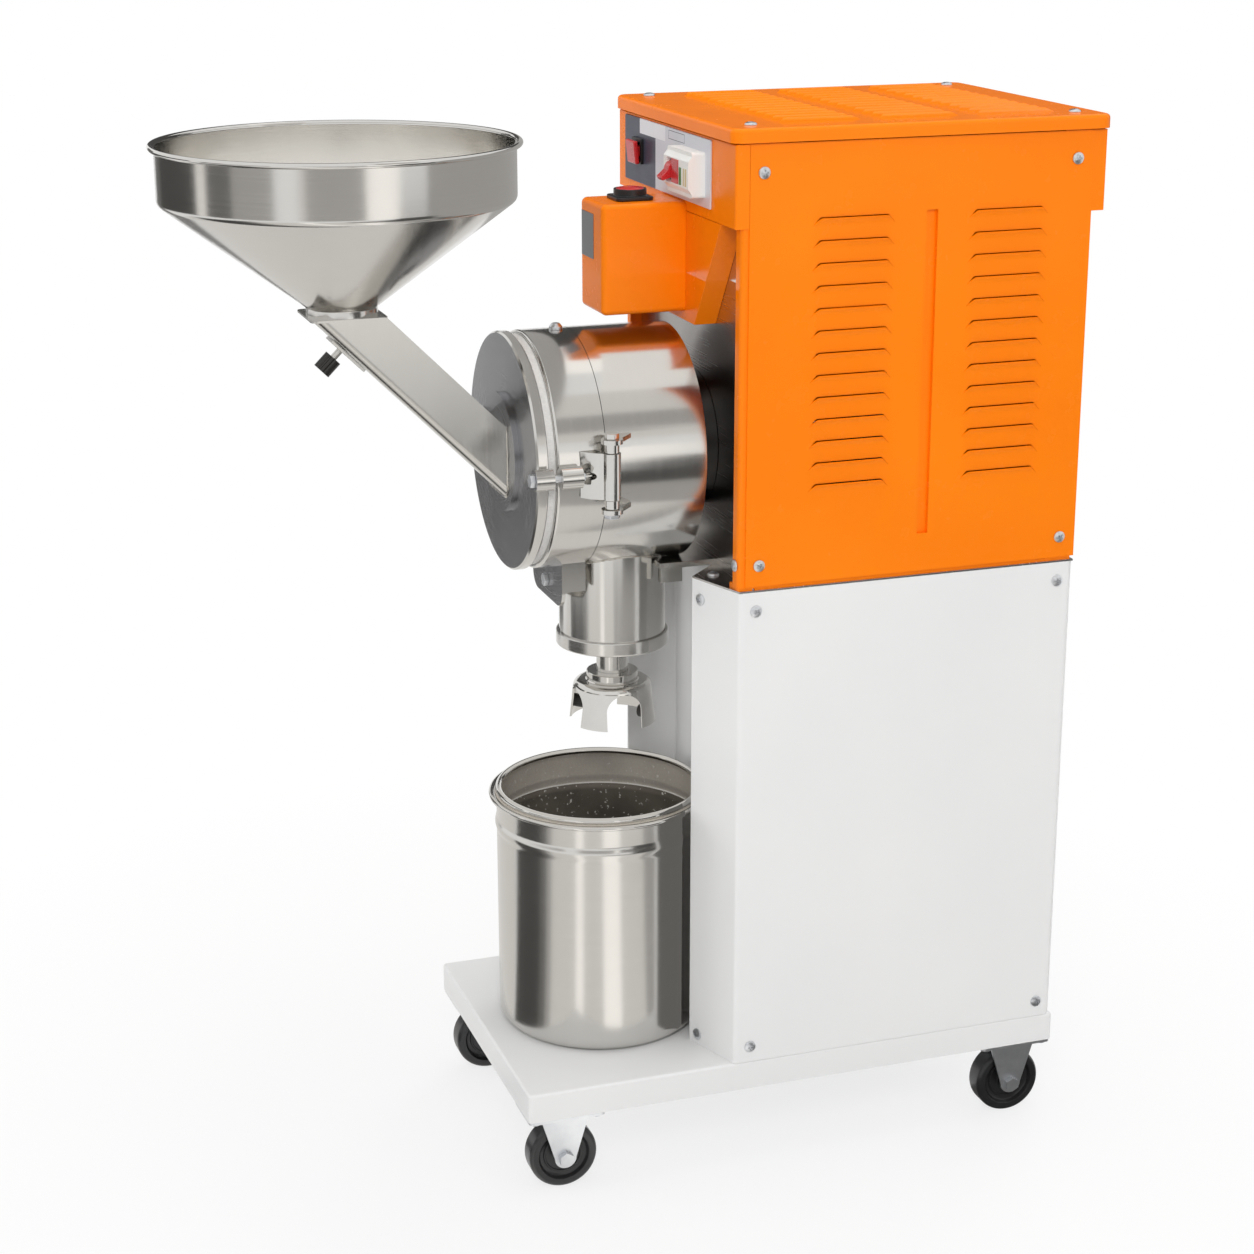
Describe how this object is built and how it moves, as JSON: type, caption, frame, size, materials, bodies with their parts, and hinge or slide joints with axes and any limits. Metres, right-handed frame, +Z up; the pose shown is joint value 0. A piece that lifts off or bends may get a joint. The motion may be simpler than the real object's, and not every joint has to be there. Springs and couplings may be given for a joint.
{
  "type": "pulverizer flour mill",
  "caption": "Floor-standing pulverizer flour mill: louvred cabinet on a wheeled tray, round hinged grinding chamber with chute and hopper, bottom outlet and a steel bucket.",
  "frame": {"origin": "on the floor, under the middle of the bounding box", "axes": "+Z up, -Y to the front with chamber, hopper and controls, +X to the operator's right"},
  "size_m": [0.368, 0.942, 1.1188],
  "materials": {
    "orange_paint": "glossy",
    "white_paint": "satin",
    "polished_steel": "polished",
    "cover_steel": "polished",
    "plain_steel": "satin",
    "zinc": "bright",
    "black_rubber": "matte",
    "wheel_black": "glossy",
    "black_plastic": "satin",
    "red_plastic": "glossy",
    "breaker_white": "satin",
    "panel_aluminium": "satin",
    "cast_iron": "rough"
  },
  "bodies": {
    "frame": {"base_tray": "white_paint", "caster_brackets": "zinc", "caster_axles": "zinc", "caster_bolts": "zinc", "lower_side_right": "white_paint", "lower_side_left": "white_paint", "recess_panel": "white_paint", "lower_rear_panel": "white_paint", "ledge_plate": "polished_steel", "upper_frame": "orange_paint", "upper_side_right": "orange_paint", "upper_side_left": "orange_paint", "upper_rear_panel": "orange_paint", "front_plate": "polished_steel", "top_lid": "orange_paint", "control_hood": "orange_paint", "rear_hood": "orange_paint", "control_panel": "panel_aluminium", "rocker_bezel": "black_plastic", "breaker_body": "breaker_white", "starter_neck": "orange_paint", "starter_box": "orange_paint", "stop_base": "black_plastic", "panel_screws": "zinc", "chamber_body": "polished_steel", "chamber_hub": "plain_steel", "chamber_bracket": "plain_steel", "outlet_cap": "polished_steel", "outlet_spider": "polished_steel", "spider_studs": "black_rubber", "hinge_pin": "plain_steel", "screen": "plain_steel", "shaft_bearings": "cast_iron", "motor": "cast_iron", "motor_base": "zinc", "drive_belt": "black_rubber"},
    "wheel_front_right": {"wheel_front_right": "wheel_black"},
    "wheel_front_left": {"wheel_front_left": "wheel_black"},
    "wheel_rear_right": {"wheel_rear_right": "wheel_black"},
    "wheel_rear_left": {"wheel_rear_left": "wheel_black"},
    "door": {"door_ring": "polished_steel", "cover_disc": "cover_steel", "cover_gasket": "black_rubber", "cover_bolts": "zinc", "chute": "polished_steel", "hopper": "polished_steel"},
    "door_knob": {"door_knob": "black_plastic"},
    "gate": {"feed_gate": "polished_steel"},
    "gate_knob": {"gate_knob": "black_plastic"},
    "spindle": {"main_shaft": "plain_steel", "rotor": "cast_iron", "shaft_pulley": "cast_iron"},
    "motor_rotor": {"motor_pulley": "cast_iron"},
    "rocker": {"rocker": "red_plastic"},
    "toggle": {"breaker_toggle": "red_plastic"},
    "stop_button": {"stop_button": "red_plastic"},
    "bucket": {"bucket": "polished_steel"}
  },
  "joints": [
    {"name": "front_right_spin", "type": "hinge", "parent": "frame", "child": "wheel_front_right", "pos_m": [0.146, -0.113, 0.0375], "axis": [1, 0, 0], "continuous": true},
    {"name": "front_left_spin", "type": "hinge", "parent": "frame", "child": "wheel_front_left", "pos_m": [-0.146, -0.113, 0.0375], "axis": [1, 0, 0], "continuous": true},
    {"name": "rear_right_spin", "type": "hinge", "parent": "frame", "child": "wheel_rear_right", "pos_m": [0.146, 0.413, 0.0375], "axis": [1, 0, 0], "continuous": true},
    {"name": "rear_left_spin", "type": "hinge", "parent": "frame", "child": "wheel_rear_left", "pos_m": [-0.146, 0.413, 0.0375], "axis": [1, 0, 0], "continuous": true},
    {"name": "door_swing", "type": "hinge", "parent": "frame", "child": "door", "pos_m": [0.14, -0.05, 0.774], "axis": [0, 0, 1], "range_deg": [0, 95]},
    {"name": "door_knob_turn", "type": "hinge", "parent": "door", "child": "door_knob", "pos_m": [-0.133, -0.129, 0.774], "axis": [0, 1, 0], "continuous": true},
    {"name": "gate_slide", "type": "slide", "parent": "door", "child": "gate", "axis": [0, 0.7071, -0.7071], "range_m": [0, 0.02]},
    {"name": "gate_knob_turn", "type": "hinge", "parent": "gate", "child": "gate_knob", "pos_m": [0, -0.28841, 0.89264], "axis": [0, 0.7071, 0.7071], "continuous": true},
    {"name": "rotor_spin", "type": "hinge", "parent": "frame", "child": "spindle", "pos_m": [0, 0.089, 0.774], "axis": [0, 1, 0], "continuous": true},
    {"name": "motor_spin", "type": "hinge", "parent": "frame", "child": "motor_rotor", "pos_m": [0, 0.334, 0.247], "axis": [0, 1, 0], "continuous": true},
    {"name": "rocker_tilt", "type": "hinge", "parent": "frame", "child": "rocker", "pos_m": [-0.105, 0.065, 1.063], "axis": [1, 0, 0], "range_deg": [-12, 0]},
    {"name": "toggle_throw", "type": "hinge", "parent": "frame", "child": "toggle", "pos_m": [0.039, 0.051, 1.061], "axis": [1, 0, 0], "range_deg": [-60, 0]},
    {"name": "stop_press", "type": "slide", "parent": "frame", "child": "stop_button", "axis": [0, 0, -1], "range_m": [0, 0.004], "stiffness_N_per_m": 400, "springref_m": -0.003},
    {"name": "bucket_draw", "type": "slide", "parent": "frame", "child": "bucket", "axis": [0, -1, 0], "range_m": [0, 0.2]}
  ],
  "couplings": [
    {"joint": "motor_spin", "follows": "rotor_spin", "ratio": 0.8}
  ]
}
